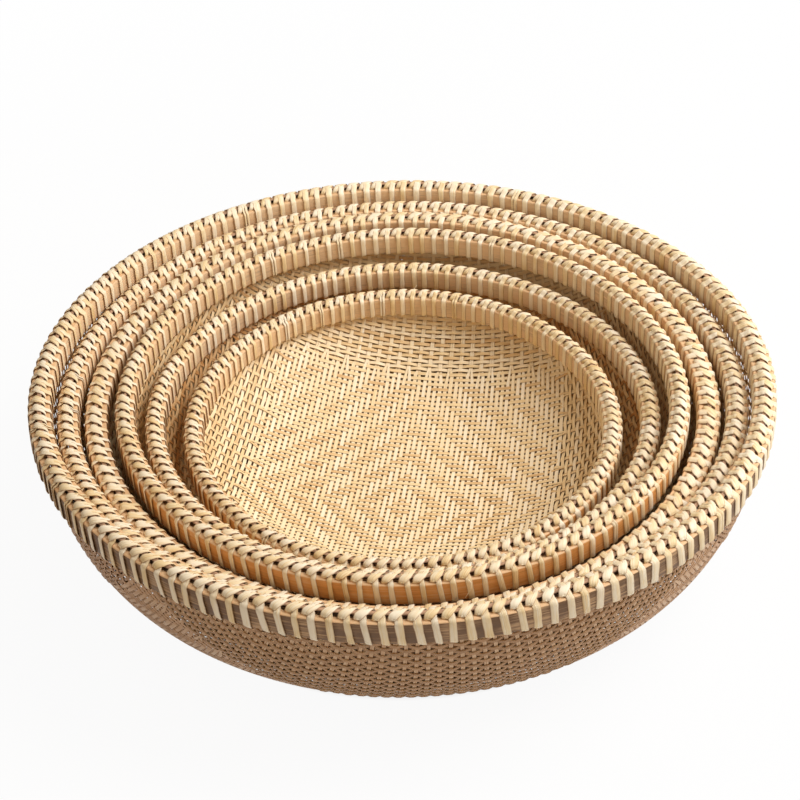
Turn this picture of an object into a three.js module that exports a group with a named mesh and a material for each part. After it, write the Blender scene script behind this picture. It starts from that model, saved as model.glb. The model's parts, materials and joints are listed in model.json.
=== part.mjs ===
// A nest of six round bamboo baskets (zaru), largest outside, each one resting inside the next.
// Millimetres, +Z up, the front of the nest faces -Y, the underside of the largest basket is at z = 0.
// Every basket is a woven bowl whose edge is held between two bamboo hoops and lashed over the top.
import * as THREE from 'three';

// Overall diameter of the largest basket, and the height of every basket from its floor to its rim.
const largestDiameter = 450;
const largestHeight = 112;
const basketHeight2 = 96.8;
const basketHeight3 = 86.9;
const basketHeight4 = 87.4;
const basketHeight5 = 69.7;
const basketHeight6 = 57.6;

// The woven mat of every basket.
const matThickness = 1.8;

// Clearances between pieces that touch on the real basket.
const clearance = 0.3;
const restGap = 0.3;

// The rim: two upright hoops, a filler strip over the mat's cut edge and the lashing round it all.
const outerHoopHeight = 14;
const innerHoopHeight = 12.8;
const hoopEdgeRound = 1.1;
const coreHeight = 2.2;
const lashingThickness = 0.8;
const lashingShoulder = 2.8;

// Width of each rim across the hoops, from the outer face of the lashing to its inner face.
const rimWidth1 = 14.6;
const rimWidth2 = 13.6;
const rimWidth3 = 14.6;
const rimWidth4 = 12.6;
const rimWidth5 = 12.6;
const rimWidth6 = 12.6;

// Free space all round between a basket's rim and the rim of the basket that holds it.
const nestSpace2 = 1.1;
const nestSpace3 = 2.2;
const nestSpace4 = 4.0;
const nestSpace5 = 4.1;
const nestSpace6 = 10.0;

// How each bowl curves from its upright wall to its floor: the power of the radius, high for a flat
// floor and low for a dished one, and the power of the drop, high for a full corner.
const floorPower1 = 7;
const floorPower2 = 5.4;
const floorPower3 = 4;
const floorPower4 = 3.6;
const floorPower5 = 3.2;
const floorPower6 = 2.8;
const wallPower1 = 1.8;
const wallPower2 = 1.6;
const wallPower3 = 1.5;
const wallPower4 = 1.4;
const wallPower5 = 1.3;
const wallPower6 = 1.25;

// The baskets lie a little tipped in each other, front side down, in degrees.
const tipDegrees1 = 0;
const tipDegrees2 = 1.1;
const tipDegrees3 = 3.4;
const tipDegrees4 = 1.8;
const tipDegrees5 = 1.1;
const tipDegrees6 = 2.5;

// Points of a bowl's curve, as shares of the quarter turn from its wall to its floor.
const curveShares = [0, 0.18, 0.36, 0.53, 0.7, 0.85, 0.95];

// Shares of the rim's width.
const outerHoopShare = 0.46;
const coreWidthShare = 0.3;
const lashingFlatShare = 0.3;

// Flat sides that stand for each full turn.
const sidesOfLargeBaskets = 36;
const sidesOfSmallBaskets = 30;

const quarterTurn = Math.PI / 2;
const degree = Math.PI / 180;

const baskets = [
  {
    name: '1',
    rimWidth: rimWidth1,
    space: 0,
    depth: largestHeight,
    floorPower: floorPower1,
    wallPower: wallPower1,
    tip: tipDegrees1 * degree,
    sides: sidesOfLargeBaskets,
    hoopColour: 0x8c7657,
  },
  {
    name: '2',
    rimWidth: rimWidth2,
    space: nestSpace2,
    depth: basketHeight2,
    floorPower: floorPower2,
    wallPower: wallPower2,
    tip: tipDegrees2 * degree,
    sides: sidesOfLargeBaskets,
    hoopColour: 0x9a7a55,
  },
  {
    name: '3',
    rimWidth: rimWidth3,
    space: nestSpace3,
    depth: basketHeight3,
    floorPower: floorPower3,
    wallPower: wallPower3,
    tip: tipDegrees3 * degree,
    sides: sidesOfLargeBaskets,
    hoopColour: 0x9a7450,
  },
  {
    name: '4',
    rimWidth: rimWidth4,
    space: nestSpace4,
    depth: basketHeight4,
    floorPower: floorPower4,
    wallPower: wallPower4,
    tip: tipDegrees4 * degree,
    sides: sidesOfSmallBaskets,
    hoopColour: 0xa9764a,
  },
  {
    name: '5',
    rimWidth: rimWidth5,
    space: nestSpace5,
    depth: basketHeight5,
    floorPower: floorPower5,
    wallPower: wallPower5,
    tip: tipDegrees5 * degree,
    sides: sidesOfSmallBaskets,
    hoopColour: 0xa57a50,
  },
  {
    name: '6',
    rimWidth: rimWidth6,
    space: nestSpace6,
    depth: basketHeight6,
    floorPower: floorPower6,
    wallPower: wallPower6,
    tip: tipDegrees6 * degree,
    sides: sidesOfSmallBaskets,
    hoopColour: 0xa87c50,
  },
];

// A solid of revolution about +Z from a closed outline of [radius, height] points.
// The outline either closes on itself or starts and ends on the axis.
function turned(outline, sides) {
  const onAxis = outline[0][0] === 0;
  const points = outline.map((point) => new THREE.Vector2(point[0], point[1]));
  if (!onAxis) {
    points.push(points[0].clone());
  }
  let area = 0;
  for (let i = 0; i < outline.length; i += 1) {
    const here = outline[i];
    const next = outline[(i + 1) % outline.length];
    area += here[0] * next[1] - next[0] * here[1];
  }
  if (area < 0) {
    points.reverse();
  }
  const solid = new THREE.LatheGeometry(points, sides);
  solid.rotateX(quarterTurn);
  return solid;
}

function piece(name, outline, sides, colour, roughness) {
  const material = new THREE.MeshStandardMaterial({ color: colour, roughness, metalness: 0 });
  const mesh = new THREE.Mesh(turned(outline, sides), material);
  mesh.name = name;
  return mesh;
}

// Heights inside one basket are measured from the top of its rim, so all of them are negative.
const coreTop = -(lashingThickness + clearance);
const coreBottom = coreTop - coreHeight;
const hoopTop = coreBottom - clearance;
const hoopBottom = hoopTop - outerHoopHeight;
const innerHoopBottom = hoopTop - innerHoopHeight;

// Radii of everything in one basket, from the outer radius of its rim.
function radiiOf(basket, outerRadius) {
  const innerRadius = outerRadius - basket.rimWidth;
  const packing = 2 * lashingThickness + matThickness + 4 * clearance;
  const hoopStock = basket.rimWidth - packing;
  const outerHoopOut = outerRadius - lashingThickness - clearance;
  const outerHoopIn = outerHoopOut - hoopStock * outerHoopShare;
  const wallOut = outerHoopIn - clearance;
  const wallIn = wallOut - matThickness;
  const innerHoopOut = wallIn - clearance;
  const innerHoopIn = innerRadius + lashingThickness + clearance;
  const middle = (outerRadius + innerRadius) / 2;
  return { outerRadius, innerRadius, outerHoopOut, outerHoopIn, wallOut, wallIn, innerHoopOut, innerHoopIn, middle };
}

// The bowl's outer curve from the wall to the edge of its flat middle, where it reaches its full depth.
function outerCurve(basket, radii) {
  const drop = basket.depth + hoopBottom;
  return curveShares.map((share, i) => {
    const turn = share * quarterTurn;
    const isLast = i === curveShares.length - 1;
    const radius = radii.wallOut * Math.cos(turn) ** (2 / basket.floorPower);
    const height = isLast ? -basket.depth : hoopBottom - drop * Math.sin(turn) ** (2 / basket.wallPower);
    return [radius, height];
  });
}

// The inside follows the outside at the thickness of the mat, measured square to the surface.
function innerCurve(outside, radii) {
  const inside = outside.map((point, i) => {
    const before = outside[Math.max(i - 1, 0)];
    const after = outside[Math.min(i + 1, outside.length - 1)];
    const along = [after[0] - before[0], after[1] - before[1]];
    const length = Math.hypot(along[0], along[1]);
    const inward = [along[1] / length, -along[0] / length];
    return [point[0] + inward[0] * matThickness, point[1] + inward[1] * matThickness];
  });
  const last = outside[outside.length - 1];
  inside[0] = [radii.wallIn, hoopBottom];
  inside[inside.length - 1] = [last[0], last[1] + matThickness];
  return inside;
}

// The bowl: a flat middle, a dished floor and a wall that stands up and ends between the hoops.
function bowlOutline(outside, inside, radii) {
  const outline = [[0, outside[outside.length - 1][1]]];
  outline.push(...outside.slice().reverse());
  outline.push([radii.wallOut, hoopTop], [radii.wallIn, hoopTop]);
  outline.push(...inside);
  outline.push([0, inside[inside.length - 1][1]]);
  return outline;
}

// Height of a bowl's inner surface at a distance from its axis.
function insideHeight(inside, distance) {
  for (let i = 0; i < inside.length - 1; i += 1) {
    const [outerDistance, outerHeight] = inside[i];
    const [innerDistance, innerHeight] = inside[i + 1];
    if (distance >= innerDistance) {
      const share = (distance - innerDistance) / (outerDistance - innerDistance);
      return innerHeight + share * (outerHeight - innerHeight);
    }
  }
  return inside[inside.length - 1][1];
}

// Height of a tipped basket's rim over its holder's rim, where its lowest point rests on the holder's floor.
function seatHeight(outside, holderInside, tip) {
  const heights = outside.flatMap(([radius, height]) => [radius, -radius].map((across) => {
    const distance = Math.abs(across * Math.cos(tip) - height * Math.sin(tip));
    const drop = across * Math.sin(tip) + height * Math.cos(tip);
    return insideHeight(holderInside, distance) + restGap - drop;
  }));
  return Math.max(...heights);
}

// An upright strip of bamboo bent into a ring, with its two exposed edges taken off.
function hoopOutline(exposed, hidden, bottom) {
  const towardsMat = Math.sign(hidden - exposed);
  return [
    [exposed, bottom + hoopEdgeRound],
    [exposed, hoopTop - hoopEdgeRound],
    [exposed + towardsMat * hoopEdgeRound, hoopTop],
    [hidden, hoopTop],
    [hidden, bottom],
    [exposed + towardsMat * hoopEdgeRound, bottom],
  ];
}

// The flat filler strip that covers the mat's cut edge on top of the hoops.
function coreOutline(radii, width) {
  const reach = (width * coreWidthShare) / 2;
  return [
    [radii.middle - reach, coreBottom],
    [radii.middle + reach, coreBottom],
    [radii.middle + reach, coreTop],
    [radii.middle - reach, coreTop],
  ];
}

// The lashing as one saddle over the core and down both faces of the hoops.
function lashingOutline(radii, width) {
  const flatReach = (width * lashingFlatShare) / 2;
  return [
    [radii.outerRadius, hoopBottom],
    [radii.outerRadius, -lashingShoulder],
    [radii.middle + flatReach, 0],
    [radii.middle - flatReach, 0],
    [radii.innerRadius, -lashingShoulder],
    [radii.innerRadius, innerHoopBottom],
    [radii.innerRadius + lashingThickness, innerHoopBottom],
    [radii.innerRadius + lashingThickness, hoopTop + clearance],
    [radii.middle - flatReach, -lashingThickness],
    [radii.middle + flatReach, -lashingThickness],
    [radii.outerRadius - lashingThickness, hoopTop + clearance],
    [radii.outerRadius - lashingThickness, hoopBottom],
  ];
}

const nest = new THREE.Group();
nest.name = 'basket_nest';

// Each basket stands in its holder, so its group is placed from the top of the holder's rim.
let holder = { group: nest, tip: 0 };

for (const basket of baskets) {
  const outerRadius = holder.radii ? holder.radii.innerRadius - basket.space : largestDiameter / 2;
  const radii = radiiOf(basket, outerRadius);
  const outside = outerCurve(basket, radii);
  const inside = innerCurve(outside, radii);
  const tip = basket.tip - holder.tip;
  const group = new THREE.Group();
  group.name = `basket_${basket.name}`;
  group.position.z = holder.inside ? seatHeight(outside, holder.inside, tip) : basket.depth;
  group.rotation.x = tip;
  group.add(piece(`woven_bowl_${basket.name}`, bowlOutline(outside, inside, radii), basket.sides, 0xd2ab74, 0.62));
  group.add(piece(
    `outer_hoop_${basket.name}`,
    hoopOutline(radii.outerHoopOut, radii.outerHoopIn, hoopBottom),
    basket.sides,
    basket.hoopColour,
    0.48,
  ));
  group.add(piece(
    `inner_hoop_${basket.name}`,
    hoopOutline(radii.innerHoopIn, radii.innerHoopOut, innerHoopBottom),
    basket.sides,
    0xc4a478,
    0.5,
  ));
  group.add(piece(`rim_core_${basket.name}`, coreOutline(radii, basket.rimWidth), basket.sides, 0x9c7258, 0.7));
  group.add(piece(`rim_lashing_${basket.name}`, lashingOutline(radii, basket.rimWidth), basket.sides, 0xe8d3a8, 0.55));
  holder.group.add(group);
  holder = { group, radii, inside, tip: basket.tip };
}

export default nest;
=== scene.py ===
# Six nested bamboo baskets: woven mats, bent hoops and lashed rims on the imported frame.
# Lengths are metres, +Z is up and the front of the nest faces -Y, as in the frame.
import json
import math

import bpy
import numpy as np
from mathutils import Matrix, Vector

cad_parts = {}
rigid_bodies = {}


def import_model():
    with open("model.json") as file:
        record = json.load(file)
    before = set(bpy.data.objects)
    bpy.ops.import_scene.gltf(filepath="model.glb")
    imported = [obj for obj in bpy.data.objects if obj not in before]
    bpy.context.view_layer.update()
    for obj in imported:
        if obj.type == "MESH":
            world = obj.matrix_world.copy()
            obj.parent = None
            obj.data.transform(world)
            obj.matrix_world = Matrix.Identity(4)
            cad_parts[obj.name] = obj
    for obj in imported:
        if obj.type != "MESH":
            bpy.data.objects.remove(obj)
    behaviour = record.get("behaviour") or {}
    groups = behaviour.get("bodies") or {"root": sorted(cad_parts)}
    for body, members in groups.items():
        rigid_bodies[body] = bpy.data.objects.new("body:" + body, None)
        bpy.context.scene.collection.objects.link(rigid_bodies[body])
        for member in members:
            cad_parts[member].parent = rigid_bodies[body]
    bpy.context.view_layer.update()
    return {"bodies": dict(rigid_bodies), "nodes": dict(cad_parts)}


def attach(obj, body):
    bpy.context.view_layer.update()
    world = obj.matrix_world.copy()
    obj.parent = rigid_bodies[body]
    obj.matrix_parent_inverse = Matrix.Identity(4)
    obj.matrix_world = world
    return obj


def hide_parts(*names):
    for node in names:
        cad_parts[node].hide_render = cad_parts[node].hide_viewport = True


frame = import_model()

bl_info = {
    "name": "Bamboo Basket Nest",
    "version": (1, 0, 0),
    "blender": (4, 5, 0),
    "location": "3D View > Sidebar > Baskets",
    "description": "Weaves, hoops and lashes a nest of six bamboo baskets",
    "category": "Add Mesh",
}

MM = 0.001
FULL_TURN = 2 * math.pi
BASKET_COUNT = len(frame["bodies"])

# Edges that turn by more than this stay sharp.
RIBBON_SHARPNESS, RING_SHARPNESS = math.radians(50), math.radians(40)
# How finely a ring is spun, and the round of its long edges.
RING_STEPS, RING_EDGE_ROUND, RING_EDGE_SEGMENTS = 240, 0.9 * MM, 3


# Property groups: the sizes and colours that a user would change.


def number(name, description, value, unit="NONE", scale=1):
    """A number, or a row of them that starts with the largest basket."""
    kind = {"name": name, "description": description, "unit": unit}
    if isinstance(value, tuple):
        values = [part * scale for part in value]
        return bpy.props.FloatVectorProperty(default=values, size=len(values), **kind)
    return bpy.props.FloatProperty(default=value * scale, **kind)


def length(name, description, millimetres):
    """A length, or a row of them, in millimetres."""
    return number(name, description, millimetres, "LENGTH", MM)


def angle(name, description, degrees):
    """An angle, or a row of them, in degrees."""
    return number(name, description, degrees, "ROTATION", math.radians(1))


def colour(name, description, hexadecimal):
    """A colour, written as red, green and blue on screen."""
    screen = [int(hexadecimal[i : i + 2], 16) / 255 for i in (0, 2, 4)]
    linear = [part / 12.92 if part <= 0.04045 else ((part + 0.055) / 1.055) ** 2.4 for part in screen]
    return bpy.props.FloatVectorProperty(
        name=name, description=description, default=linear, size=3, min=0, max=1, subtype="COLOR"
    )


class WeaveSettings(bpy.types.PropertyGroup):
    """The woven mat of every basket."""

    strip_pitch: length("Strip pitch", "Distance between floor strips along", 3.58)
    row_pitch: length("Row pitch", "Distance between floor strips across", 3.89)
    strip_width: length("Strip width", "Width of a floor strip", 2.32)
    strip_thickness: length("Strip thickness", "Thickness of a floor strip", 0.22)
    strip_wave: length("Strip wave", "How far a floor strip swings to each side", 0.13)
    stake_width: length("Stake width", "Width of two floor strips drawn together", 2.6)
    weft_pitch: length("Weft pitch", "Distance between rows of the wall", 3.0)
    weft_widths: length("Weft widths", "Width of a row of the wall", (1.85, 2.2, 2.2, 2.3, 2.15, 2.1))
    weft_thickness: length("Weft thickness", "Thickness of a row of the wall", 0.5)
    weft_wave: length("Weft wave", "How far a row swings to each side", 0.6)
    stake_wave: length("Stake wave", "How far a stake swings to each side", 0.36)
    field_share: number("Field share", "Half side of the square floor field over the mat's reach", 0.707)
    floor_powers: number("Floor powers", "How flat each bowl's floor is", (7, 5.4, 4, 3.6, 3.2, 2.8))
    wall_powers: number("Wall powers", "How full each bowl's corner is", (1.8, 1.6, 1.5, 1.4, 1.3, 1.25))
    turns: angle("Mat turns", "Turn of each mat about the basket's axis", (4, -3, 6, -6, 3, -9.2))
    # How far each mat is drawn darker and browner: painted shade for the mats that lie in the nest's shade;
    # the smallest, open mat has almost none.
    shade_browning: number("Ages", "How far each mat has browned", (0.3, 0.3, 0.3, 0.4, 0.9, 0.05))
    pale: colour("Pale strip", "Palest bamboo strip", "FFF1D6")
    warm: colour("Warm strip", "Most common bamboo strip", "F5D8A4")
    brown: colour("Brown strip", "Darkest bamboo strip", "C58E50")
    outside: colour("Outside face", "Outer face of the largest mat", "C69C74")
    # Painted shade: the smaller mats' outer faces are drawn darker than the largest mat's, so the slits
    # between nested walls look dark.
    shaded_outside: colour("Shaded outside", "Outer face of the smaller mats", "9C7048")
    hollow: colour("Hollow", "Shade under the mats and in the gaps", "4A2614")


class RimSettings(bpy.types.PropertyGroup):
    """The hoops, the filler strip and the lashing of every rim."""

    stitch_pitches: length("Stitch pitches", "Distance between stitches", (8.9, 8.3, 9.1, 8.3, 7.9, 7.2))
    strap_widths: length("Strap widths", "Width of the lashing strip", (4.4, 3.6, 3.95, 3.5, 3.6, 3.4))
    strap_thickness: length("Strap thickness", "Thickness of the lashing strip", 0.7)
    crest_heights: length("Crest heights", "Leaves' height over hoops", (3.05, 2.9, 2.0, 2.9, 2.9, 2.9))
    # Golden tint of each rim's lashing: partly the cane's own tone, partly painted warm bounce light.
    strap_golden_tints: number("Strap ages", "How golden each lashing has turned", (0, 0, 0.05, 0.12, 0.1, 0.2))
    strap_pale: colour("Pale lashing", "Palest lashing strip", "FDF1D8")
    strap_warm: colour("Warm lashing", "Common lashing strip", "F3DAA9")
    strap_gold: colour("Golden lashing", "Oldest lashing strip", "D9AC66")
    # Painted shade along the lashing's two edges.
    strap_edge_shade: colour("Lashing edge", "Cut edge of the lashing strip", "A06C3A")
    hoop_weathered: colour("Weathered hoop", "Outer hoop of the largest basket", "7A5A3A")
    # The smaller outer hoops' own tan, made brighter and more orange with painted warm bounce light from the
    # walls around them.
    hoop_tan_bounce_lit: colour("Tan hoop", "Outer hoops of the smaller baskets", "DE9F5C")
    hoop_pale: colour("Pale hoop", "Inner hoops", "EBCBA4")
    hoop_edge: colour("Hoop edge", "Split top edge of the hoops", "E6BE90")
    core: colour("Filler strip", "Strip under the lashing", "CFA583")
    core_foot_shade: colour("Filler strip's foot", "Shade low between the stitches", "2A170D")


class StageSettings(bpy.types.PropertyGroup):
    """The floor, the lamp, the sky and the camera."""

    camera_distance: length("Camera distance", "From the middle of the largest rim", 1170)
    camera_elevation: angle("Camera elevation", "Above the horizon", 35.72)
    camera_roll: angle("Camera roll", "Clockwise turn about the line of sight", 1.34)
    camera_lens: number("Lens", "Focal length in millimetres", 87.0)
    camera_shift: number("Shift", "Lens shift as a share of the frame", (-0.0018, -0.0453))
    floor_size: length("Floor size", "Side of the floor", 8000)
    floor_paint: number("Floor paint", "How much light the floor gives back", 0.8)
    floor_reaches: length("Floor reaches", "Where the floor is shaded, pale and white", (156, 170, 900))
    floor_glow: number("Floor glow", "How white the floor is where it is pale", 0.94)
    lamp_place: length("Lamp place", "Where the main lamp hangs", (980, 150, 1220))
    lamp_size: length("Lamp size", "Diameter of the main lamp", 1250)
    lamp_power: number("Lamp power", "Power of the main lamp", 26.5)
    sky_strength: number("Sky strength", "Strength of the sky's light", 0.41)
    sky_tint: colour("Sky tint", "Colour of the sky's light", "FFEAD2")


# The baskets as the frame holds them.


def mesh_points(mesh):
    """The corners of a mesh, one to a row."""
    flat = np.empty(len(mesh.vertices) * 3)
    mesh.vertices.foreach_get("co", flat)
    return flat.reshape(-1, 3)


def arc_along(radius, height):
    """How far along a line its points lie."""
    steps = np.hypot(np.diff(radius), np.diff(height))
    return np.concatenate(([0], np.cumsum(steps)))


def node_points(name):
    """The corners of a frame node, each once."""
    return np.unique(mesh_points(frame["nodes"][name].data).round(6), axis=0)


class Basket:
    """A basket's place, tip, radii and heights, measured on the frame, with zero at the rim's top."""

    def __init__(self, number):
        self.number = number
        self.body = f"basket_{number}"
        core = node_points(f"rim_core_{number}")
        self.origin = core.mean(axis=0)
        self.up = np.linalg.svd(core - self.origin)[2][2]
        self.up *= np.sign(self.up[2])
        self.right = np.array((1.0, 0.0, 0.0))
        self.back = np.cross(self.up, self.right)
        radius, height = self.measured("rim_lashing")
        self.origin = self.origin + self.up * height.max()
        self.middle = (radius.max() + radius.min()) / 2
        radius, height = self.measured("rim_core")
        self.core_out, self.core_in = radius.max(), radius.min()
        self.core_bottom = height.min()
        radius, height = self.measured("outer_hoop")
        self.outer_hoop = (radius.min(), radius.max())
        self.hoop_bottom, self.hoop_top = height.min(), height.max()
        radius, height = self.measured("inner_hoop")
        self.inner_hoop = (radius.min(), radius.max())
        self.inner_bottom = height.min()
        radius, height = self.measured("woven_bowl")
        self.depth = -height.min()
        self.wall_out = radius.max()
        self.wall_in = radius[height > height.max() - MM].min()

    def measured(self, node):
        """Radii and heights of a node's corners in the level frame of this basket."""
        away = node_points(f"{node}_{self.number}") - self.origin
        return np.hypot(away @ self.right, away @ self.back), away @ self.up

    def place(self, points):
        """Level points, with the rim's top at zero, moved to where the basket lies."""
        axes = np.stack((self.right, self.back, self.up))
        return self.origin + points @ axes


baskets = [Basket(number) for number in range(1, BASKET_COUNT + 1)]


# Ribbons: closed strips of bamboo gathered into one mesh.


def add_maps(mesh, places, tones, sharpness):
    """Gives a mesh its map along and across the strip, its tones and smooth faces."""
    layer = mesh.uv_layers.new(name="strip")
    layer.data.foreach_set("uv", places.ravel())
    attribute = mesh.attributes.new("tone", "FLOAT", "POINT")
    attribute.data.foreach_set("value", tones)
    mesh.shade_smooth()
    mesh.set_sharp_from_angle(angle=sharpness)


class Ribbons:
    """Closed ribbons that become one mesh, each with its own tone and its length as a map."""

    def __init__(self):
        self.points, self.maps, self.tones, self.corners, self.sizes = [], [], [], [], []
        self.total = 0

    def add(self, rings, run, girth, tone):
        """Adds a ribbon from its rings of points, which go round from the left over the face."""
        count, sides = rings.shape[:2]
        index = self.total + np.arange(count * sides).reshape(count, sides)
        beside = np.roll(index, -1, axis=1)
        quads = np.stack((index[:-1], beside[:-1], beside[1:], index[1:]), axis=-1)
        self.corners += [quads.ravel(), index[0][::-1], index[-1]]
        self.sizes += [np.full((count - 1) * sides, 4), [sides, sides]]
        self.points.append(rings.reshape(-1, 3))
        self.maps.append(np.stack(np.broadcast_arrays(run[:, None], girth[None, :]), axis=-1).reshape(-1, 2))
        self.tones.append(np.full(count * sides, tone))
        self.total += count * sides

    def build(self, name, basket):
        """The ribbons as one object on its basket."""
        corners = np.concatenate(self.corners)
        sizes = np.concatenate(self.sizes)
        mesh = bpy.data.meshes.new(name)
        mesh.vertices.add(self.total)
        mesh.vertices.foreach_set("co", basket.place(np.concatenate(self.points)).ravel())
        mesh.loops.add(len(corners))
        mesh.loops.foreach_set("vertex_index", corners)
        mesh.polygons.add(len(sizes))
        mesh.polygons.foreach_set("loop_start", np.concatenate(([0], np.cumsum(sizes)[:-1])))
        mesh.update(calc_edges=True)
        add_maps(mesh, np.concatenate(self.maps)[corners], np.concatenate(self.tones), RIBBON_SHARPNESS)
        made = bpy.data.objects.new(name, mesh)
        bpy.context.collection.objects.link(made)
        return made


# The mat.


class Mat:
    """A square mat pressed into a basket: a twill field with plain weave on its four sides."""

    # The mat's edge in the rim, and the points that trace the bowl's curve and wall.
    tuck, curve_points, wall_points = 2.5 * MM, 240, 12
    # Past this share of the wall's radius, strips bend with the bowl between crossings too.
    bend_share = 0.85
    # How many crossings a float spans, and how far it stays level past the last one, in crossings.
    float_span, level_share = 3, 0.31
    # Shares of a stake's width: what its strips fill, and where the rows over it are level.
    fill_share, hold_share = 0.98, 0.52
    # Strips this many crossings off the field and stakes this close to the mat's edge are left out.
    corner_crossings, edge_room = 1.5, 1.5 * MM
    # Chance's part in the widths of strips and rows, and the size and length of their waves.
    strip_spread, weft_spread = (0.93, 1.05), (0.93, 1.04)
    wander_size, strip_wave_length, weft_wave_length = 0.1 * MM, 21 * MM, 17 * MM
    # Tones of the strips across and along over the mat's painted shade browning, and what chance adds.
    way_tones, strip_tones, weft_tones = (0.52, -0.28), 0.6, 1
    # Added to the map's place across on the outside, which tells strips from rows.
    strip_outside, weft_outside = 2, 1

    def __init__(self, basket, settings, mirror, random):
        self.settings = settings
        self.basket = basket
        self.random = random
        self.turn = settings.turns[basket.number - 1]
        # The mat's painted shade, which makes its strips darker and browner.
        self.tone_shift = settings.shade_browning[basket.number - 1]
        self.weft_width = settings.weft_widths[basket.number - 1]
        self.trace_profile()
        wall_bottom = np.interp(basket.hoop_bottom, self.height, self.arc)
        self.reach = wall_bottom + self.tuck
        self.half_side = wall_bottom * settings.field_share
        self.pitches = (settings.strip_pitch, settings.row_pitch)
        self.lines = []
        for middle, pitch in zip(mirror, self.pitches):
            first = math.ceil((-self.half_side - middle) / pitch)
            last = math.floor((self.half_side - middle) / pitch)
            numbers = np.arange(first, last + 1)
            self.lines.append((numbers, middle + numbers * pitch))
        self.first_weft = (settings.strip_pitch + settings.weft_pitch) / 2
        self.row_count = math.ceil((self.reach - self.half_side) / settings.weft_pitch) + 1

    def trace_profile(self):
        """The mat's middle from its centre to the rim: arc, radius, height and normal."""
        basket = self.basket
        floor_power = self.settings.floor_powers[basket.number - 1]
        wall_power = self.settings.wall_powers[basket.number - 1]
        turn = np.linspace(0, math.pi / 2, self.curve_points)
        curve_radius = basket.wall_out * np.sin(turn) ** (2 / floor_power)
        drop = basket.depth + basket.hoop_bottom
        curve_height = basket.hoop_bottom - drop * np.cos(turn) ** (2 / wall_power)
        wall = np.linspace(basket.hoop_bottom, basket.hoop_top, self.wall_points)[1:]
        radius = np.concatenate((curve_radius, np.full_like(wall, basket.wall_out)))
        height = np.concatenate((curve_height, wall))
        ahead = np.gradient(radius), np.gradient(height)
        size = np.hypot(*ahead)
        self.normal = -ahead[1] / size, ahead[0] / size
        half = (basket.wall_out - basket.wall_in) / 2
        self.radius = radius + self.normal[0] * half
        self.height = height + self.normal[1] * half
        self.radius[0] = 0
        self.arc = arc_along(self.radius, self.height)
        self.bend_start = np.interp(self.bend_share * basket.wall_in, self.radius, self.arc)

    def pressed(self, across, along, lift):
        """Where points of the flat mat lie in the basket, lifted to the inside."""
        nearly_none = 1e-9
        arc = np.maximum(np.hypot(across, along), nearly_none)
        radius = np.interp(arc, self.arc, self.radius) + np.interp(arc, self.arc, self.normal[0]) * lift
        height = np.interp(arc, self.arc, self.height) + np.interp(arc, self.arc, self.normal[1]) * lift
        cosine, sine = math.cos(self.turn), math.sin(self.turn)
        x = (across * cosine - along * sine) / arc * radius
        y = (across * sine + along * cosine) / arc * radius
        return np.stack((x, y, height), axis=-1)

    def knots(self, at, lift, offset, half_width):
        """What a strip passes through: places along the mat, lifts, places across and half widths."""
        return np.stack(np.broadcast_arrays(at, lift, offset, half_width)).astype(float)

    def to_edges(self, knots, end):
        """The same points, with the first and the last repeated where the mat ends."""
        edges = knots[:, [0, -1]]
        edges[0] = -end, end
        return np.concatenate((edges[:, :1], knots, edges[:, 1:]), axis=1)

    def wander(self, at, wavelength):
        """The slow sideways wave of a strip."""
        return self.wander_size * np.sin(at / wavelength + self.random.uniform(0, FULL_TURN))

    def strip(self, ribbons, axis, knots, thickness, tone, outside):
        """One strip through its knots."""
        at, lift, place, half_width = knots
        side = 1 if axis == 0 else -1
        thick = thickness / 2
        rings = []
        for sideways, upward in ((side, thick), (-side, thick), (-side, -thick), (side, -thick)):
            offset = place + sideways * half_width
            flat = (at, offset) if axis == 0 else (offset, at)
            rings.append(self.pressed(*flat, lift + upward))
        width = half_width.max()
        girth = np.array((width, -width, outside - width, outside + width))
        ribbons.add(np.stack(rings, axis=1), at, girth, tone)

    def weave(self, axis):
        """All the strips that run one way: 0 across and 1 along."""
        ribbons = Ribbons()
        numbers, places = self.lines[1 - axis]
        for number, place in zip(numbers, places):
            self.floor_strip(ribbons, axis, number, place)
        for side, edge in ((-1, places[0]), (1, places[-1])):
            for row in range(self.row_count):
                place = edge + side * (self.first_weft + row * self.settings.weft_pitch)
                if abs(place) < self.reach - self.weft_width:
                    self.weft(ribbons, axis, row, place)
        return ribbons

    def floor_strip(self, ribbons, axis, number, place):
        """A strip of the twill field, whose ends are halves of stakes on the walls."""
        settings = self.settings
        end = math.sqrt(max(self.reach**2 - place**2, 0))
        others, crossings = self.lines[axis]
        inside = np.abs(crossings) < end
        others, crossings = others[inside], crossings[inside]
        half = settings.strip_width / 2 * self.random.uniform(*self.strip_spread)
        parts = [self.knots(*self.twill(axis, number, place, others, crossings), place, half)]
        parts += self.stake_ends(axis, number, place, crossings, end)
        knots = np.concatenate(parts, axis=1)
        knots = knots[:, np.argsort(knots[0])]
        if knots.shape[1] < 2:
            return
        knots = self.to_edges(knots, end)
        knots[2] += self.wander(knots[0], self.strip_wave_length)
        tone = self.tone_shift + self.random.uniform(0, self.strip_tones) + self.way_tones[axis]
        self.strip(ribbons, axis, knots, settings.strip_thickness, tone, self.strip_outside)

    def twill(self, axis, number, place, others, crossings):
        """A strip's floats over three strips and under three: places along it and lifts."""
        over = (abs(number) + np.abs(others)) % (2 * self.float_span) < self.float_span
        if axis == 1:
            over = ~over
        lift = np.where(over, 1, -1) * self.settings.strip_wave
        level = self.level_share * self.pitches[axis]
        change = np.flatnonzero(over[1:] != over[:-1])
        floats = np.flatnonzero((over[2:] == over[1:-1]) & (over[1:-1] == over[:-2])) + 1
        bent = floats[np.hypot(crossings[floats], place) > self.bend_start]
        at = np.concatenate((crossings[change] + level, crossings[change + 1] - level, crossings[bent]))
        return at, np.concatenate((lift[change], lift[change + 1], lift[bent]))

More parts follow.
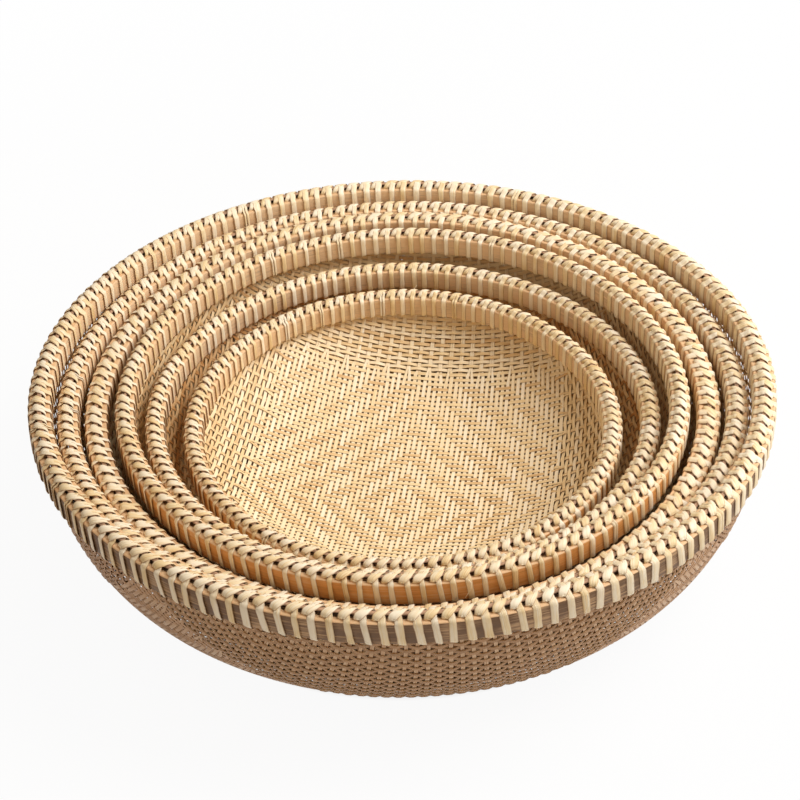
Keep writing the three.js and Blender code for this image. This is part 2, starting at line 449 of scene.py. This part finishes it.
    def stake_ends(self, axis, number, place, crossings, end):
        """The knots of a strip's two ends, each drawn together with its neighbour to a stake."""
        settings = self.settings
        own_pitch = self.pitches[1 - axis]
        pair = number // 2
        pair_place = place + own_pitch * (0.5 if number % 2 == 0 else -0.5)
        stake_half = settings.stake_width / 4
        stake_place = pair_place + (place - pair_place) / own_pitch * 2 * stake_half
        parts = []
        for side, edge in ((-1, crossings[0]), (1, crossings[-1])):
            if abs(edge) < self.half_side - self.corner_crossings * self.pitches[axis]:
                break
            rows = np.arange(self.row_count)
            row_places = edge + side * (self.first_weft + rows * settings.weft_pitch)
            keep = np.abs(row_places) < end
            lift = np.where((pair + rows[keep]) % 2 == 0, 1, -1) * settings.stake_wave
            parts.append(self.knots(row_places[keep], lift, stake_place, stake_half * self.fill_share))
        return parts

    def weft(self, ribbons, axis, row, place):
        """A row of the wall's plain weave, parallel to a side of the field."""
        settings = self.settings
        end = math.sqrt(self.reach**2 - place**2)
        numbers, crossings = self.lines[axis]
        pairs = numbers // 2
        stakes = np.unique(pairs)
        middles = np.array([crossings[pairs == pair].mean() for pair in stakes])
        inside = np.abs(middles) < end - self.edge_room
        stakes, middles = stakes[inside], middles[inside]
        if len(stakes) < 2:
            return
        over = (stakes + row) % 2 == 1
        hold = settings.stake_width * self.hold_share
        at = np.stack((middles - hold, middles + hold), axis=1).ravel()
        lift = np.repeat(np.where(over, 1, -1) * settings.weft_wave, 2)
        half = self.weft_width / 2 * self.random.uniform(*self.weft_spread)
        knots = self.to_edges(self.knots(at, lift, place, half), end)
        knots[2] += self.wander(knots[0], self.weft_wave_length)
        tone = self.tone_shift + self.random.uniform(0, self.weft_tones)
        self.strip(ribbons, axis, knots, settings.weft_thickness, tone, self.weft_outside)


# The rim.


def map_ring(mesh, basket):
    """Maps a ring by its length round the basket and its height."""
    away = mesh_points(mesh) - basket.origin
    x, y, z = away @ basket.right, away @ basket.back, away @ basket.up
    corners = np.empty(len(mesh.loops), dtype=np.int32)
    mesh.loops.foreach_get("vertex_index", corners)
    starts = np.empty(len(mesh.polygons), dtype=np.int32)
    totals = np.empty(len(mesh.polygons), dtype=np.int32)
    mesh.polygons.foreach_get("loop_start", starts)
    mesh.polygons.foreach_get("loop_total", totals)
    run = np.arctan2(y, x)[corners]
    behind = np.repeat(np.minimum.reduceat(run, starts), totals) < -math.pi / 2
    run = np.where(behind & (run > math.pi / 2), run - FULL_TURN, run)
    across = z + np.hypot(x, y) - basket.middle
    places = np.stack((run * basket.middle, across[corners]), axis=1)
    add_maps(mesh, places, (z - z.min()) / np.ptp(z), RING_SHARPNESS)


def spun_ring(name, radii, heights):
    """A strip bent into a ring: a rectangle with rounded corners, spun round the basket's axis."""
    bpy.ops.mesh.primitive_plane_add(size=1, rotation=(math.pi / 2, 0, 0))
    made = bpy.context.object
    made.name = made.data.name = name
    made.scale = (radii[1] - radii[0], heights[1] - heights[0], 1)
    made.location = ((radii[0] + radii[1]) / 2, 0, (heights[0] + heights[1]) / 2)
    bpy.ops.object.transform_apply(location=True, rotation=True, scale=True)
    bpy.ops.object.mode_set(mode="EDIT")
    bpy.ops.mesh.select_all(action="SELECT")
    bpy.ops.mesh.bevel(offset=RING_EDGE_ROUND, segments=RING_EDGE_SEGMENTS, affect="VERTICES")
    bpy.ops.mesh.delete(type="ONLY_FACE")
    bpy.ops.mesh.select_all(action="SELECT")
    bpy.ops.mesh.spin(steps=RING_STEPS, angle=FULL_TURN, center=(0, 0, 0), axis=(0, 0, 1))
    bpy.ops.mesh.select_all(action="SELECT")
    bpy.ops.mesh.remove_doubles(threshold=0.01 * MM)
    bpy.ops.mesh.normals_make_consistent(inside=False)
    bpy.ops.object.mode_set(mode="OBJECT")
    return made


def settle(made, basket, waviness, random):
    """Gives a level ring a bent strip's slight waves, then lays it where its basket lies."""
    mesh = made.data
    points = mesh_points(mesh)
    around = np.arctan2(points[:, 1], points[:, 0])
    out = np.zeros_like(around)
    up = np.zeros_like(around)
    for waves in (3, 5, 8, 13):
        size = waviness / waves**0.5
        out += size * np.sin(waves * around + random.uniform(0, FULL_TURN))
        up += size * np.sin((waves + 1) * around + random.uniform(0, FULL_TURN))
    radius = np.hypot(points[:, 0], points[:, 1])
    points[:, :2] *= ((radius + out) / radius)[:, None]
    points[:, 2] += up
    mesh.vertices.foreach_set("co", basket.place(points).ravel())
    mesh.update()
    map_ring(mesh, basket)


class Way:
    """A line in a rim's section, from the outer side in: arc, radii, heights and normals."""

    def __init__(self, points):
        radius, height = np.array(points, dtype=float).T
        self.arc = arc_along(radius, height)
        ahead = np.gradient(radius, self.arc), np.gradient(height, self.arc)
        size = np.hypot(*ahead)
        self.parts = np.stack((radius, height, ahead[1] / size, -ahead[0] / size))

    def at(self, place):
        """Radius, height and normal at places along the line."""
        return np.array([np.interp(place, self.arc, part) for part in self.parts])


def round_rim(turn, radius, height):
    """Points from their turns about the basket's axis, radii and heights."""
    return np.stack((radius * np.cos(turn), radius * np.sin(turn), height), axis=-1)


def crown_height(basket, crest):
    """How high the straps pass over the filler strip."""
    below_leaves = 0.35 * MM
    return basket.hoop_top + crest - below_leaves


class Lashing:
    """The stitches round one rim: upright straps over both hoops, and slanting leaves over those."""

    # Points round a strip's section: share of its half width to the left, share of its thickness up.
    strap_section = (
        (1, 0.15), (0.72, 0.7), (0, 1.05), (-0.72, 1.3), (-1, 1.15), (-0.92, 0.6), (0, 0.1), (0.9, 0)
    )
    leaf_section = ((1, 0.3), (0.75, 0.75), (0, 0.95), (-0.75, 0.75), (-1, 0.3), (-0.9, 0), (0.9, 0))

    # A strap's line from a hoop's bottom edge to its top edge: millimetres past the hoop's face, share of the
    # hoop's height, millimetres above that.
    strap_line = (
        (-1.1, 0, -0.2), (-0.275, 0, 0.11), (0.1, 0, 1.1), (0.1, 0.35, 0), (0.1, 0.65, 0),
        (0.1, 1, -1.1), (-0.33, 1, -0.11), (-1.21, 1, 0.165), (-2.64, 1, 0.77),
    )

    # A leaf's line from its slot to the crest, beside straps, over one and under one: millimetres past the
    # filler strip, share of the crest's height.
    from_slot = ((0.1, 0.03), (1.15, 0.07), (1.1, 0.38), (0.6, 0.69), (-0.6, 0.93))
    over_strap = ((2.8, 0.3), (2.2, 0.42), (1.2, 0.64), (0.3, 0.84), (-0.6, 0.96))
    under_strap = ((0.1, 0.03), (1.0, 0.04), (0.9, 0.32), (0.4, 0.61), (-0.6, 0.86))
    # How far past a strap's edge a leaf starts to bend, and how soon it has bent.
    crossing_reach, crossing_slope = 0.55 * MM, 0.7 * MM

    # Along a leaf from its outer slot at -1 to its inner slot at 1: its width and its way past its strap, in
    # stitches.
    leaf_points = 13
    leaf_shares = (-1, -0.45, 0, 0.45, 1)
    leaf_taper = (0.66, 0.98, 0.93, 0.64, 0.52)
    leaf_shift = (-0.47, -0.3, 0.0, 0.27, 0.5)
    leaf_forward = 0.04

    # A strap's lean inside the rim over its lean outside, its shift on the crest, and its level part there.
    inner_lean, crest_shift, crown_share = -0.3, -0.12, 0.4

    # Chance's part, in shares of the stitches' distance or of the strip's width.
    place_spread, slant_middle, slant_spread = (-0.07, 0.07), 0.2, 0.07
    strap_spread, edge_spread = (0.86, 1.1), (-0.08, 0.08)
    leaf_spread, leaf_slant_spread = (0.29, 0.34), 0.06
    # Shift, slant and width of the strips in a whole strap and in a doubled one, in shares of the strap's.
    doubled_share = 0.03
    whole_strap = ((0, 1, 1),)
    doubled_strap = ((-0.5, 0.94, 0.52), (0.58, 1.02, 0.46))

    # Loose fibres: degrees round the rim, then millimetres aside, off the rim's middle and over the hoops.
    loose_fibres = {
        1: ((-65.6, ((0, 7.9, -14), (0.9, 8.5, -8), (1, 8.7, -4), (0.5, 8.3, 1))),),
        4: ((-79, ((-1.8, 6.9, -11), (-0.6, 7.5, -8), (0.9, 7.8, -4), (1.3, 7.5, 0), (0.2, 6.3, 1.6))),),
        6: ((86.5, ((0, 1, 1.5), (-1.5, 1.6, 3.5), (-3.2, 2.4, 5.8))),),
    }
    fibre_half_width = 0.22 * MM

    def __init__(self, basket, settings, random):
        self.basket = basket
        self.random = random
        self.ribbons = Ribbons()
        self.thickness = settings.strap_thickness
        self.half = settings.strap_widths[basket.number - 1] / 2
        self.count = round(FULL_TURN * basket.middle / settings.stitch_pitches[basket.number - 1])
        self.pitch = FULL_TURN * basket.middle / self.count
        self.reach = (basket.core_out - basket.core_in) / 2
        self.crest = settings.crest_heights[basket.number - 1]
        self.strap_way = Way(self.side(1) + self.crown() + self.side(-1)[::-1])
        # The lashing's golden tint, partly its own tone and partly painted warm bounce light.
        self.tone_shift = settings.strap_golden_tints[basket.number - 1]
        self.free_way = Way(self.slot_line(self.from_slot, self.from_slot))
        self.crossing_way = Way(self.slot_line(self.over_strap, self.under_strap))

    def slot_line(self, outer_line, inner_line):
        """A leaf's line from its outer slot over the crest to its inner slot."""
        basket = self.basket
        sides = []
        for outward, half_line in ((1, outer_line), (-1, inner_line)):
            sides.append([
                (basket.middle + outward * (self.reach + out * MM), basket.hoop_top + up * self.crest)
                for out, up in half_line
            ])
        return [*sides[0], (basket.middle, basket.hoop_top + self.crest), *sides[1][::-1]]

    def side(self, outward):
        """One side of a strap's line, from under its hoop up to the hoop's top edge."""
        basket = self.basket
        if outward > 0:
            wall, face, bottom = basket.wall_out, basket.outer_hoop[1], basket.hoop_bottom
        else:
            wall, face, bottom = basket.wall_in, basket.inner_hoop[0], basket.inner_bottom
        tall = basket.hoop_top - bottom
        line = [
            (face + outward * out * MM, bottom + share * tall + up * MM) for out, share, up in self.strap_line
        ]
        under, low = line[0]
        return [(wall + face - under, low), *line]

    def crown(self):
        """A strap's line over the filler strip."""
        high = crown_height(self.basket, self.crest)
        low = high - 0.5 * MM
        line = ((1, low), (self.crown_share, high), (-self.crown_share, high), (-1, low))
        return [(self.basket.middle + out * self.reach, height) for out, height in line]

    def stitch_all(self):
        """Every stitch of the rim, each a little different."""
        random = self.random
        for number in range(self.count):
            aside = (number + random.uniform(*self.place_spread)) * self.pitch
            slant = random.normal(self.slant_middle, self.slant_spread) * self.pitch
            half = self.half * random.uniform(*self.strap_spread)
            tone = self.tone_shift + random.uniform(0, 1)
            strips = self.doubled_strap if random.uniform() < self.doubled_share else self.whole_strap
            for shift, lean, width in strips:
                self.strap(aside + shift * half, slant * lean, half * width, tone)
            leaf_slant = random.normal(1, self.leaf_slant_spread) * self.pitch
            self.leaf(aside, half, leaf_slant, self.tone_shift + random.uniform(0, 1))
        for turn, line in self.loose_fibres.get(self.basket.number, ()):
            self.fibre(math.radians(turn), line)
        return self.ribbons

    def fibre(self, turn, line):
        """A loose fibre that climbs along a line."""
        aside, out, up = np.array(line, dtype=float).T * MM
        half = self.fibre_half_width
        rings = []
        for beside, away in ((-half, 0), (0, half), (half, 0), (0, -half)):
            around = turn + (aside + beside) / self.basket.middle
            rings.append(round_rim(around, self.basket.middle + out + away, self.basket.hoop_top + up))
        self.ribbons.add(np.stack(rings, axis=1), up, np.zeros(4), 0)

    def strap(self, aside, slant, half, tone):
        """An upright strap: up the outer hoop, over the filler strip and down the inner hoop."""
        basket = self.basket
        along = self.strap_way.arc
        radius, height = self.strap_way.parts[:2]
        fall = np.clip((basket.hoop_top - height) / (basket.hoop_top - basket.hoop_bottom), 0, 1)
        lean = np.where(radius > basket.middle, slant, self.inner_lean * slant)
        rise = np.clip((height - basket.hoop_top) / self.crest, 0, 1)
        run = aside + fall * lean + self.crest_shift * self.pitch * rise
        halves = half * (1 + self.random.uniform(*self.edge_spread, len(along)))
        self.lay(
            lambda place, beside: self.strap_way.at(place), self.strap_section, along, run, halves, tone
        )

    def leaf(self, aside, strap_half, slant, tone):
        """A slanting leaf over the crest, from its outer slot to its inner slot."""
        length = self.free_way.arc[-1]
        along = np.linspace(0, length, self.leaf_points)
        share = along / length * 2 - 1
        half = self.pitch * self.random.uniform(*self.leaf_spread)
        halves = half * np.interp(share, self.leaf_shares, self.leaf_taper)
        shift = np.interp(share, self.leaf_shares, self.leaf_shift) * slant
        run = aside + shift + self.leaf_forward * self.pitch

        def surface(place, beside):
            free = self.free_way.at(place)
            crossing = self.crossing_way.at(place / length * self.crossing_way.arc[-1])
            inside = strap_half + self.crossing_reach - np.abs(beside - aside)
            near = np.clip(inside / self.crossing_slope, 0, 1)
            near = near * near * (3 - 2 * near)
            return free + (crossing - free) * near

        self.lay(surface, self.leaf_section, along, run, halves, tone)

    def lay(self, surface, section, along, aside, halves, tone):
        """A crowned strip on a surface, from its way along the section and its way round the rim."""
        ahead = np.stack((np.gradient(along), np.gradient(aside)))
        ahead /= np.hypot(*ahead)
        rings = []
        for across, up in section:
            place = along + ahead[1] * across * halves
            beside = aside - ahead[0] * across * halves
            radius, height, out, rise = surface(place, beside)
            off = up * self.thickness
            rings.append(round_rim(beside / self.basket.middle, radius + out * off, height + rise * off))
        girth = np.array([across for across, up in section])
        self.ribbons.add(np.stack(rings, axis=1), along, girth, tone)


# Materials.


def grey(level):
    """A grey from its brightness."""
    return (level, level, level)


def dimmed(paint, share):
    """A colour with a share of its brightness."""
    return [part * share for part in paint]


def between(first, second, share):
    """A colour that lies a share of the way from the first to the second."""
    return [start * (1 - share) + end * share for start, end in zip(first, second)]


class Value:
    """A shader socket that Python's arithmetic works on."""

    def __init__(self, shader, socket):
        self.shader = shader
        self.socket = socket

    def maths(self, operation, first, second):
        return self.shader.node("Math", {0: first, 1: second}, operation=operation)

    def __add__(self, other):
        return self.maths("ADD", self, other)

    def __sub__(self, other):
        return self.maths("SUBTRACT", self, other)

    def __mul__(self, other):
        return self.maths("MULTIPLY", self, other)

    def over(self, limit):
        return self.maths("GREATER_THAN", self, limit)


class Shader:
    """The nodes that a material or the world is made of."""

    def __init__(self, owner):
        owner.use_nodes = True
        self.owner = owner
        self.tree = owner.node_tree
        self.tree.nodes.clear()

    def node(self, kind, inputs, output=0, **settings):
        """A node from its kind, the values or links of its sockets and its settings."""
        made = self.tree.nodes.new(f"ShaderNode{kind}")
        for name, value in settings.items():
            setattr(made, name, value)
        for name, value in inputs.items():
            socket = made.inputs[name]
            if isinstance(value, Value):
                self.tree.links.new(value.socket, socket)
            else:
                socket.default_value = (*value, 1) if socket.type == "RGBA" else value
        return Value(self, made.outputs[output])

    def attribute(self, name):
        """A number that each ribbon carries."""
        return self.node("Attribute", {}, "Fac", attribute_name=name)

    def strip_map(self, output):
        """Length along the strip at output 0, place across it at output 1."""
        place = self.node("UVMap", {}, uv_map="strip")
        return self.node("SeparateXYZ", {0: place}, output)

    def along_strip(self, lengthwise, crosswise, seed):
        """A stretched place on the strip, with every strip in a place of its own."""
        values = {0: self.strip_map(0) * lengthwise, 1: self.strip_map(1) * crosswise, 2: seed}
        return self.node("CombineXYZ", values)

    def distance(self):
        """Distance from the object's zero, the middle of the nest's underside."""
        place = self.node("TexCoord", {}, "Object")
        return self.node("VectorMath", {0: place}, "Value", operation="LENGTH")

    def rays(self, kind):
        """One for rays of a kind, zero for others."""
        return self.node("LightPath", {}, f"Is {kind} Ray")

    def noise(self, place, detail, roughness=0.5):
        """A soft random pattern from 0 to 1."""
        values = {"Vector": place, "Scale": 1.0, "Detail": detail, "Roughness": roughness}
        return self.node("TexNoise", values)

    def ramp(self, factor, stops):
        """A colour from a factor."""
        made = self.node("ValToRGB", {0: factor})
        elements = made.socket.node.color_ramp.elements
        while len(elements) < len(stops):
            elements.new(0.5)
        for element, (position, shade) in zip(elements, stops):
            element.position = position
            element.color = (*shade, 1)
        return made

    def mix(self, factor, first, second):
        """A colour between two colours, the ones of the mix node that are in sockets 6 and 7."""
        return self.node("Mix", {0: factor, 6: first, 7: second}, 2, data_type="RGBA")

    def bump(self, height, distance, strength):
        """A surface relief from a height pattern."""
        return self.node("Bump", {"Height": height, "Distance": distance, "Strength": strength})

    def finish(self, base, roughness, normal):
        """The surface itself, with a little less shine than plastic."""
        values = {"Base Color": base, "Roughness": roughness, "Normal": normal, "Specular IOR Level": 0.4}
        self.output("Material", self.node("BsdfPrincipled", values))
        return self.owner

    def output(self, kind, surface):
        """Joins a surface to the output of a material or of the world."""
        made = self.tree.nodes.new(f"ShaderNodeOutput{kind}")
        self.tree.links.new(surface.socket, made.inputs["Surface"])


def material_shader(name):
    """The nodes of a new material."""
    return Shader(bpy.data.materials.new(name))


def mat_material(name, settings, outside, covered):
    """Split bamboo strips, pale to brown and finely fibred. A covered mat's floor is painted dark, as the
    shade under the mats above it.
    """
    shader = material_shader(name)
    tone = shader.attribute("tone")
    fibres = shader.noise(shader.along_strip(60, 2600, tone * 91), 3, 0.6)
    patches = shader.noise(shader.along_strip(28, 60, tone * 53), 2)
    shade = tone * 0.35 + fibres * 0.8 + patches * 0.32 - 0.3
    inner = shader.ramp(shade, [(0.1, settings.pale), (0.5, settings.warm), (0.9, settings.brown)])
    wefts = shader.ramp(shade, [(0.1, outside), (1.0, dimmed(outside, 0.6))])
    stakes = shader.ramp(shade, [(0.0, between(outside, settings.pale, 0.5)), (0.6, outside)])
    across = shader.strip_map(1)
    outer = shader.mix(across.over((Mat.weft_outside + Mat.strip_outside) / 2), wefts, stakes)
    base = shader.mix(across.over(Mat.weft_outside / 2), inner, outer)
    if covered:
        # Painted shade: near the axis a covered mat's floor turns to the hollow's dark colour, so the holes
        # above it look dark.
        floor_shade = shader.ramp(shader.distance() * 5, [(0.5, grey(0.8)), (0.66, grey(0))])
        base = shader.mix(floor_shade, base, settings.hollow)
    return shader.finish(base, fibres * 0.25 + 0.42, shader.bump(fibres, 0.12 * MM, 0.6))


def strap_material(settings):
    """Peeled cane strips of the lashing, cream with lengthwise grooves, and darker edges as painted shade."""
    shader = material_shader("lashing_cane")
    tone = shader.attribute("tone")
    fibres = shader.noise(shader.along_strip(35, 4, tone * 77), 3, 0.6)
    patches = shader.noise(shader.along_strip(90, 0.4, tone * 29), 2)
    shade = tone * 0.4 + fibres * 1.1 + patches * 0.7 - 0.82
    stops = [(0.1, settings.strap_pale), (0.5, settings.strap_warm), (0.95, settings.strap_gold)]
    across = shader.strip_map(1)
    # Painted shade: the strap's two edges turn to the edge colour, as the shade beside a raised strip.
    edge = shader.ramp(across * across, [(0.6, grey(0)), (0.95, grey(0.75))])
    base = shader.mix(edge, shader.ramp(shade, stops), settings.strap_edge_shade)
    return shader.finish(base, fibres * 0.25 + 0.36, shader.bump(fibres, 0.5 * MM, 0.8))


def hoop_material(name, face, edge):
    """A split bamboo hoop: streaks along the bend, and a paler split edge."""
    shader = material_shader(name)
    streaks = shader.noise(shader.along_strip(12, 900, 0.0), 4, 0.7)
    patches = shader.noise(shader.along_strip(45, 60, 3.0), 3)
    shade = streaks + patches * 0.9 - 0.45
    base = shader.ramp(shade, [(0.3, dimmed(face, 0.78)), (0.5, face), (0.7, between(face, edge, 0.6))])
    base = shader.mix(shader.attribute("tone").over(0.95), base, edge)
    return shader.finish(base, streaks * 0.3 + 0.35, shader.bump(streaks, 0.3 * MM, 0.6))


def core_material(settings):
    """The rough strip under the lashing, dark at its foot as painted shade."""
    shader = material_shader("filler_strip")
    streaks = shader.noise(shader.along_strip(30, 900, 0.0), 4, 0.65)
    base = shader.ramp(streaks, [(0.3, dimmed(settings.core, 0.45)), (0.6, settings.core)])
    # Painted shade: below the strip's top its colour turns to the foot's dark shade, as deep in the gaps
    # between stitches.
    top = shader.ramp(shader.attribute("tone"), [(0.6, grey(0)), (0.95, grey(1))])
    base = shader.mix(top, settings.core_foot_shade, base)
    return shader.finish(base, streaks * 0.2 + 0.6, shader.bump(streaks, 0.4 * MM, 0.8))


def dress(piece, basket, material, slot, *nodes):
    """Gives a piece its material and its body, and hides the frame nodes that it stands for. The slot is not
    used.
    """
    piece.data.materials.append(material)
    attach(piece, basket.body)
    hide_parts(*nodes)


# Operators, one for each group of like pieces and one for the stage.


class BASKETS_OT_mats(bpy.types.Operator):
    """Weave the mat of every basket"""

    bl_idname = "baskets.mats"
    bl_label = "Woven mats"

    # How far off the middle the twill's ribs turn on the smallest mat, and the most on the others.
    smallest_mirror = (1.3 * MM, -24.5 * MM)
    mirror_spread = 8

    def execute(self, context):
        settings = context.scene.basket_weave
        largest = mat_material("largest_mat", settings, settings.outside, True)
        # The smaller mats take the shaded outside, painted shade on their outer faces.
        covered = mat_material("covered_mat", settings, settings.shaded_outside, True)
        smallest = mat_material("smallest_mat", settings, settings.shaded_outside, False)
        for basket in baskets:
            material = {1: largest, BASKET_COUNT: smallest}.get(basket.number, covered)
            random = np.random.default_rng(100 + basket.number)
            mirror = self.smallest_mirror
            if basket.number < BASKET_COUNT:
                mirror = random.uniform(-self.mirror_spread, self.mirror_spread, 2) * MM
            mat = Mat(basket, settings, mirror, random)
            for axis, way in enumerate(("across", "along")):
                piece = mat.weave(axis).build(f"mat_{way}_{basket.number}", basket)
                dress(piece, basket, material, "mat", f"woven_bowl_{basket.number}")
        return {"FINISHED"}


class BASKETS_OT_hoops(bpy.types.Operator):
    """Bend the two hoops of every rim"""

    bl_idname = "baskets.hoops"
    bl_label = "Hoops"

    waviness = 0.12 * MM

    def execute(self, context):
        settings = context.scene.basket_rims
        faces = {
            "weathered_hoop": settings.hoop_weathered,
            "tan_hoop": settings.hoop_tan_bounce_lit,
            "pale_hoop": settings.hoop_pale,
        }
        materials = {slot: hoop_material(slot, face, settings.hoop_edge) for slot, face in faces.items()}
        for basket in baskets:
            random = np.random.default_rng(200 + basket.number)
            # The smaller baskets' outer hoops take the tan with painted bounce light.
            outer_slot = "weathered_hoop" if basket.number == 1 else "tan_hoop"
            sides = (
                ("outer_hoop", basket.outer_hoop, basket.hoop_bottom, outer_slot),
                ("inner_hoop", basket.inner_hoop, basket.inner_bottom, "pale_hoop"),
            )
            for name, radii, bottom, slot in sides:
                piece = spun_ring(f"bent_{name}_{basket.number}", radii, (bottom, basket.hoop_top))
                settle(piece, basket, self.waviness, random)
                dress(piece, basket, materials[slot], slot, f"{name}_{basket.number}")
        return {"FINISHED"}


class BASKETS_OT_cores(bpy.types.Operator):
    """Lay the filler strip on top of every pair of hoops"""

    bl_idname = "baskets.cores"
    bl_label = "Filler strips"

    # Room beside the strip and between it and the straps.
    side_room = 0.6 * MM
    top_room = 0.1 * MM
    waviness = 0.1 * MM

    def execute(self, context):
        settings = context.scene.basket_rims
        material = core_material(settings)
        for basket in baskets:
            random = np.random.default_rng(300 + basket.number)
            radii = (basket.core_in + self.side_room, basket.core_out - self.side_room)
            top = crown_height(basket, settings.crest_heights[basket.number - 1]) - self.top_room
            piece = spun_ring(f"filler_strip_{basket.number}", radii, (basket.core_bottom, top))
            settle(piece, basket, self.waviness, random)
            dress(piece, basket, material, "core", f"rim_core_{basket.number}")
        return {"FINISHED"}


class BASKETS_OT_lashings(bpy.types.Operator):
    """Stitch the lashing round every rim"""

    bl_idname = "baskets.lashings"
    bl_label = "Lashings"

    def execute(self, context):
        settings = context.scene.basket_rims
        material = strap_material(settings)
        for basket in baskets:
            random = np.random.default_rng(400 + basket.number)
            stitches = Lashing(basket, settings, random).stitch_all()
            piece = stitches.build(f"lashing_{basket.number}", basket)
            dress(piece, basket, material, "lashing", f"rim_lashing_{basket.number}")
        return {"FINISHED"}


class BASKETS_OT_stage(bpy.types.Operator):
    """Set up the floor, the lamp, the sky and the camera"""

    bl_idname = "baskets.stage"
    bl_label = "Stage"

    def execute(self, context):
        settings = context.scene.basket_stage
        self.lay_floor(settings)
        self.light(context.scene, settings)
        self.aim_camera(context.scene, settings)
        context.scene.view_settings.view_transform = "Standard"
        return {"FINISHED"}

    def lay_floor(self, settings):
        """A white floor that keeps the nest's soft shadow."""
        bpy.ops.mesh.primitive_plane_add(size=settings.floor_size)
        floor = bpy.context.object
        floor.name = "floor"
        shader = material_shader("white_floor")
        paint = shader.node("BsdfDiffuse", {"Color": grey(settings.floor_paint)})
        glow = shader.node("Emission", {"Color": grey(1), "Strength": 1.0})
        seen = shader.rays("Camera") + shader.rays("Glossy")
        shades = zip(settings.floor_reaches, (grey(0), grey(settings.floor_glow), grey(1)))
        share = seen * shader.ramp(shader.distance(), list(shades))
        shader.output("Material", shader.node("MixShader", {0: share, 1: paint, 2: glow}))
        floor.data.materials.append(shader.owner)

    def light(self, scene, settings):
        """A sky that is seen white but sheds a dim warm light, and one large soft lamp."""
        scene.world = bpy.data.worlds.new("studio")
        shader = Shader(scene.world)
        seen = shader.rays("Camera")
        tint = shader.mix(seen, settings.sky_tint, grey(1))
        level = seen * (1 - settings.sky_strength) + settings.sky_strength
        shader.output("World", shader.node("Background", {"Color": tint, "Strength": level}))
        bpy.ops.object.light_add(type="AREA", location=settings.lamp_place)
        lamp = bpy.context.object
        lamp.name = "main_lamp"
        lamp.data.shape = "DISK"
        lamp.data.size = settings.lamp_size
        lamp.data.energy = settings.lamp_power
        lamp.rotation_euler = (-Vector(settings.lamp_place)).to_track_quat("-Z", "Y").to_euler()

    def aim_camera(self, scene, settings):
        """A camera at the photograph's angle, aimed at the middle of the largest rim."""
        target = Matrix.Translation((0, 0, baskets[0].origin[2]))
        tilt = Matrix.Rotation(math.pi / 2 - settings.camera_elevation, 4, "X")
        roll = Matrix.Rotation(-settings.camera_roll, 4, "Z")
        away = Matrix.Translation((0, 0, settings.camera_distance))
        camera = bpy.data.objects.new("camera", bpy.data.cameras.new("camera"))
        scene.collection.objects.link(camera)
        camera.matrix_world = target @ tilt @ roll @ away
        camera.data.lens = settings.camera_lens
        camera.data.shift_x, camera.data.shift_y = settings.camera_shift
        scene.camera = camera


class BASKETS_PT_panel(bpy.types.Panel):
    """The operators in the sidebar"""

    bl_label = "Bamboo basket nest"
    bl_space_type = "VIEW_3D"
    bl_region_type = "UI"
    bl_category = "Baskets"

    def draw(self, context):
        for operator in operators:
            self.layout.operator(operator.bl_idname)


groups = {"basket_weave": WeaveSettings, "basket_rims": RimSettings, "basket_stage": StageSettings}
operators = (BASKETS_OT_stage, BASKETS_OT_mats, BASKETS_OT_hoops, BASKETS_OT_cores, BASKETS_OT_lashings)
classes = (*groups.values(), *operators, BASKETS_PT_panel)


def register():
    """Adds the classes and the settings to Blender."""
    for made in classes:
        bpy.utils.register_class(made)
    for name, group in groups.items():
        setattr(bpy.types.Scene, name, bpy.props.PointerProperty(type=group))


def unregister():
    """Takes the settings and the classes away again."""
    for name in groups:
        delattr(bpy.types.Scene, name)
    for made in reversed(classes):
        bpy.utils.unregister_class(made)


def main():
    """Builds the whole scene."""
    register()
    bpy.ops.baskets.stage()
    bpy.ops.baskets.mats()
    bpy.ops.baskets.hoops()
    bpy.ops.baskets.cores()
    bpy.ops.baskets.lashings()


if __name__ == "__main__":
    main()
